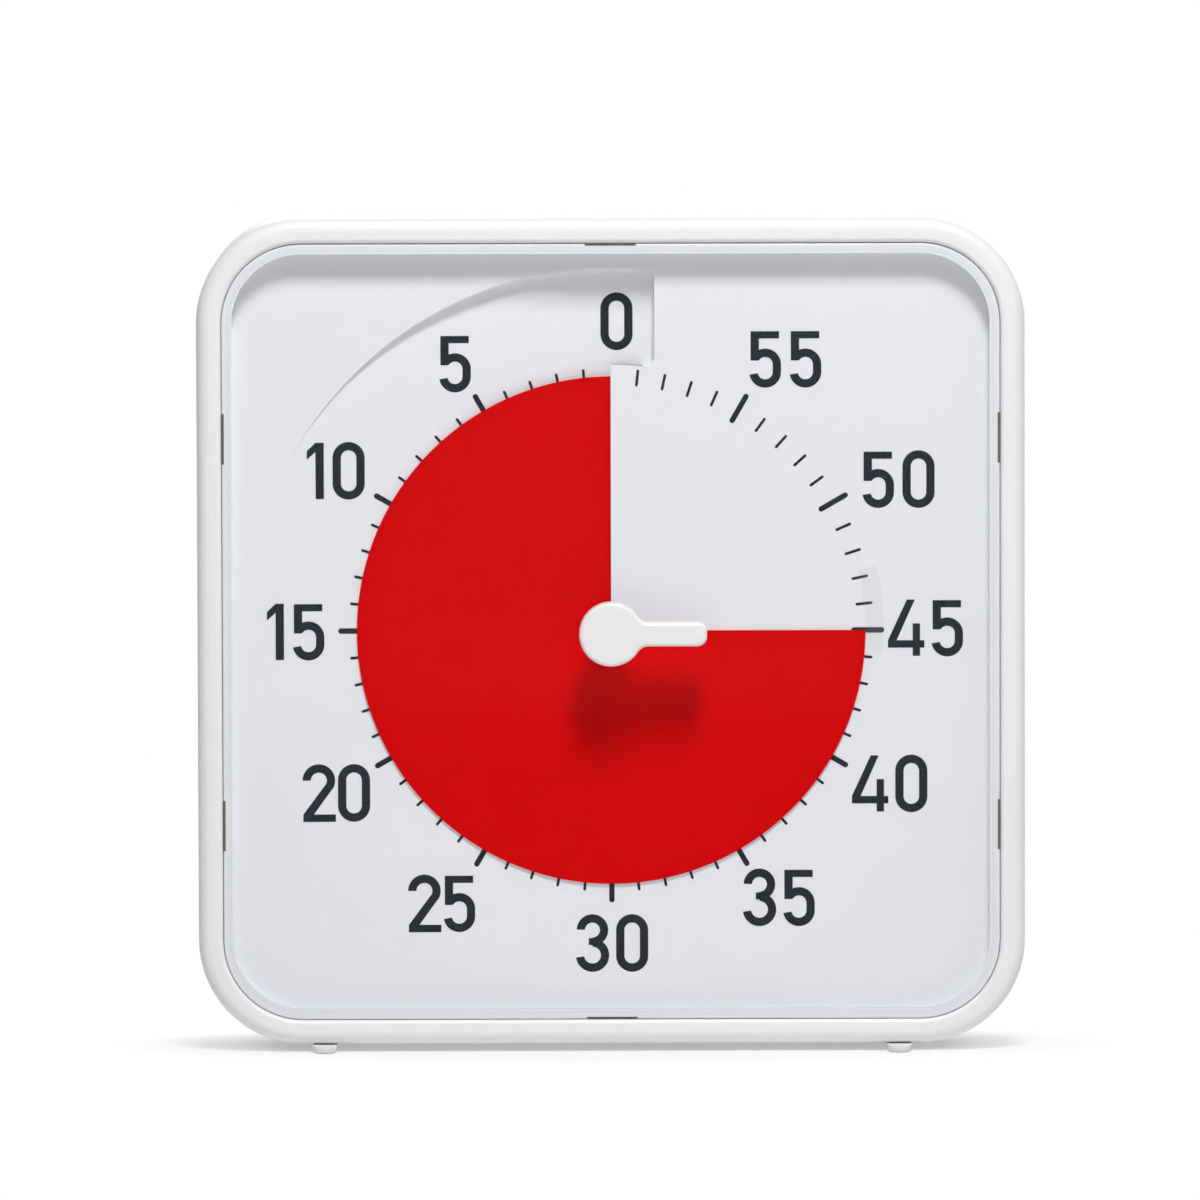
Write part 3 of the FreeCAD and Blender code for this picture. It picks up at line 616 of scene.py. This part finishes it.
def slot_shadow_strips():
    """Dark strips of painted shadow, laid in the slots beside the bezel's lip where only shade shows."""
    reach = LENS_REACH - SLOT_SHADOW_WIDTH / 2
    ends = []
    for side in (-reach, reach):
        for along in (-SLOT_SHADOW_OFFSET, SLOT_SHADOW_OFFSET):
            ends.append((side, along, SLOT_SHADOW_WIDTH, SLOT_SHADOW_LENGTH))
    # The painted shadow above and below is thinner
    for side in (-reach, reach):
        ends.append((0, side, SLOT_SHADOW_LENGTH, SLOT_SHADOW_WIDTH / 2))
    mesh = bmesh.new()
    depth = BEZEL_FRONT + SLOT_SHADOW_DEPTH * MM
    for x, z, width, height in ends:
        end = bmesh.ops.create_cube(mesh, size=1.0)["verts"]
        bmesh.ops.scale(mesh, vec=Vector((width, SLOT_SHADOW_THICKNESS, height)) * MM, verts=end)
        bmesh.ops.translate(mesh, vec=(DIAL_X + x * MM, depth, DIAL_Z + z * MM), verts=end)
    data = bpy.data.meshes.new("slot_shadow_strips")
    mesh.to_mesh(data)
    mesh.free()
    data.materials.append(slot_shadow_brown)
    piece = bpy.data.objects.new("slot_shadow_strips", data)
    bpy.context.collection.objects.link(piece)
    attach(piece, "case")


slot_shadow_strips()
dial_trees = front_surface("dial_face", "dial_sheet")
for text in NUMERAL_PLACES:
    numeral(text, dial_trees)
minute_marks(dial_trees)

# The camera: metres, degrees, and the case's width and middle in the picture's 1200 pixels
CAMERA_DISTANCE = 3.0
CAMERA_RISE = 4.2
PHOTO_SIZE = 1200
CASE_PIXELS = 828.3
CASE_MIDDLE = (611.2, 632.2)
PHOTO_TURN = 0.15
SENSOR = 36.0

# The floor: its reach in metres, where its painted glow begins and is full about the timer's narrow foot, and
# the glow's least share there
FLOOR_REACH = 3.0
FOOT_SHAPE = (0.36, 1, 1)
GLOW_BEGINS = 0.028
GLOW_FULL = 0.042
GLOW_LEAST = 0.42

# The light: the even share, then each lamp's place and size in metres and its watts
WORLD_LIGHT = 0.08
LAMPS = {
    "key": ((0.12, -0.70, DIAL_Z + 1.12), 0.28, 13.6),
    "left_fill": ((-1.3, -0.6, DIAL_Z + 0.2), 0.9, 0.5),
    "right_fill": ((1.3, -0.6, DIAL_Z + 0.2), 0.9, 1.1),
    "low_fill": ((0.0, -1.0, 0.10), 0.6, 1.2),
    "back_fill": ((0.25, 1.15, DIAL_Z + 0.12), 0.9, 7.0),
}


def set_camera():
    """A long lens, a little above the dial's centre and square to it."""
    data = bpy.data.cameras.new("camera")
    camera = bpy.data.objects.new("camera", data)
    bpy.context.collection.objects.link(camera)
    rise = math.radians(CAMERA_RISE)
    aim = Vector((DIAL_X, BEZEL_FRONT, DIAL_Z))
    camera.location = aim + Vector((0, -math.cos(rise), math.sin(rise))) * CAMERA_DISTANCE
    turn = (aim - camera.location).to_track_quat("-Z", "Y")
    camera.rotation_euler = turn.to_euler()
    camera.rotation_euler.rotate_axis("Z", math.radians(-PHOTO_TURN))
    width = (case_high.x - case_low.x) * PHOTO_SIZE / CASE_PIXELS
    data.sensor_width = SENSOR
    data.lens = SENSOR * CAMERA_DISTANCE / width
    data.shift_x = (PHOTO_SIZE / 2 - CASE_MIDDLE[0]) / PHOTO_SIZE
    data.shift_y = (CASE_MIDDLE[1] - PHOTO_SIZE / 2) / PHOTO_SIZE
    bpy.context.scene.camera = camera


def lamp(name, place, size, power):
    """A soft square lamp that points at the dial."""
    data = bpy.data.lights.new(name, "AREA")
    data.shape = "SQUARE"
    data.size = size
    data.energy = power
    light = bpy.data.objects.new(name, data)
    bpy.context.collection.objects.link(light)
    light.location = place
    light.rotation_euler = (Vector((0, 0, DIAL_Z)) - light.location).to_track_quat("-Z", "Y").to_euler()


def seen_white(tree):
    """One for rays that come from the camera, a mirror or glass, and nought for light on the timer."""
    ray = add(tree, "ShaderNodeLightPath")
    mirrored = add(
        tree,
        "ShaderNodeMath",
        [(ray, "Is Camera Ray", 0), (ray, "Is Glossy Ray", 1)],
        operation="MAXIMUM",
    )
    return add(
        tree,
        "ShaderNodeMath",
        [(mirrored, "Value", 0), (ray, "Is Transmission Ray", 1)],
        operation="MAXIMUM",
    )


def set_world(strength):
    """Even light all round, and white where the camera or a mirror sees it."""
    world = bpy.data.worlds.new("studio")
    bpy.context.scene.world = world
    world.use_nodes = True
    tree = world.node_tree
    tree.nodes.clear()
    lit = add(tree, "ShaderNodeBackground", sockets={"Color": (1, 1, 1, 1), "Strength": strength})
    seen = add(tree, "ShaderNodeBackground", sockets={"Color": (1, 1, 1, 1), "Strength": 1.0})
    mixed = add(
        tree,
        "ShaderNodeMixShader",
        [(seen_white(tree), "Value", "Fac"), (lit, "Background", 1), (seen, "Background", 2)],
    )
    add(tree, "ShaderNodeOutputWorld", [(mixed, "Shader", "Surface")])


def set_floor():
    """A white sweep under the timer with a painted glow that only the camera, mirrors and glass see. The glow
    is weaker near the timer, which paints the floor there a little darker and keeps its soft shadow. It is
    full further off, where it paints the shadow out.
    """
    mesh = bmesh.new()
    bmesh.ops.create_grid(mesh, x_segments=1, y_segments=1, size=FLOOR_REACH)
    data = bpy.data.meshes.new("floor")
    mesh.to_mesh(data)
    mesh.free()
    floor = bpy.data.objects.new("floor", data)
    bpy.context.collection.objects.link(floor)
    material, tree, place = blank("paper_sweep_with_painted_glow")
    paper = add(tree, "ShaderNodeBsdfDiffuse", sockets={"Color": linear("F4F4F4")})
    narrowed = add(tree, "ShaderNodeMapping", [(place, "Object", "Vector")], sockets={"Scale": FOOT_SHAPE})
    away = add(tree, "ShaderNodeVectorMath", [(narrowed, "Vector", 0)], operation="LENGTH")
    glow = add(
        tree,
        "ShaderNodeMapRange",
        [(away, "Value", "Value")],
        sockets={"From Min": GLOW_BEGINS, "From Max": GLOW_FULL, "To Min": GLOW_LEAST, "To Max": 1.0},
    )
    share = add(
        tree,
        "ShaderNodeMath",
        [(glow, "Result", 0), (seen_white(tree), "Value", 1)],
        operation="MULTIPLY",
    )
    # Painted glow: the floor shines white for the camera though it is no lamp
    bright = add(tree, "ShaderNodeEmission", sockets={"Color": (1, 1, 1, 1), "Strength": 1.0})
    total = add(
        tree,
        "ShaderNodeMixShader",
        [(share, "Value", "Fac"), (paper, "BSDF", 1), (bright, "Emission", 2)],
    )
    show(tree, total, "Shader")
    data.materials.append(material)


set_camera()
set_floor()
set_world(WORLD_LIGHT)
for name, (place, size, power) in LAMPS.items():
    lamp(name, place, size, power)
bpy.context.scene.view_settings.view_transform = "Standard"
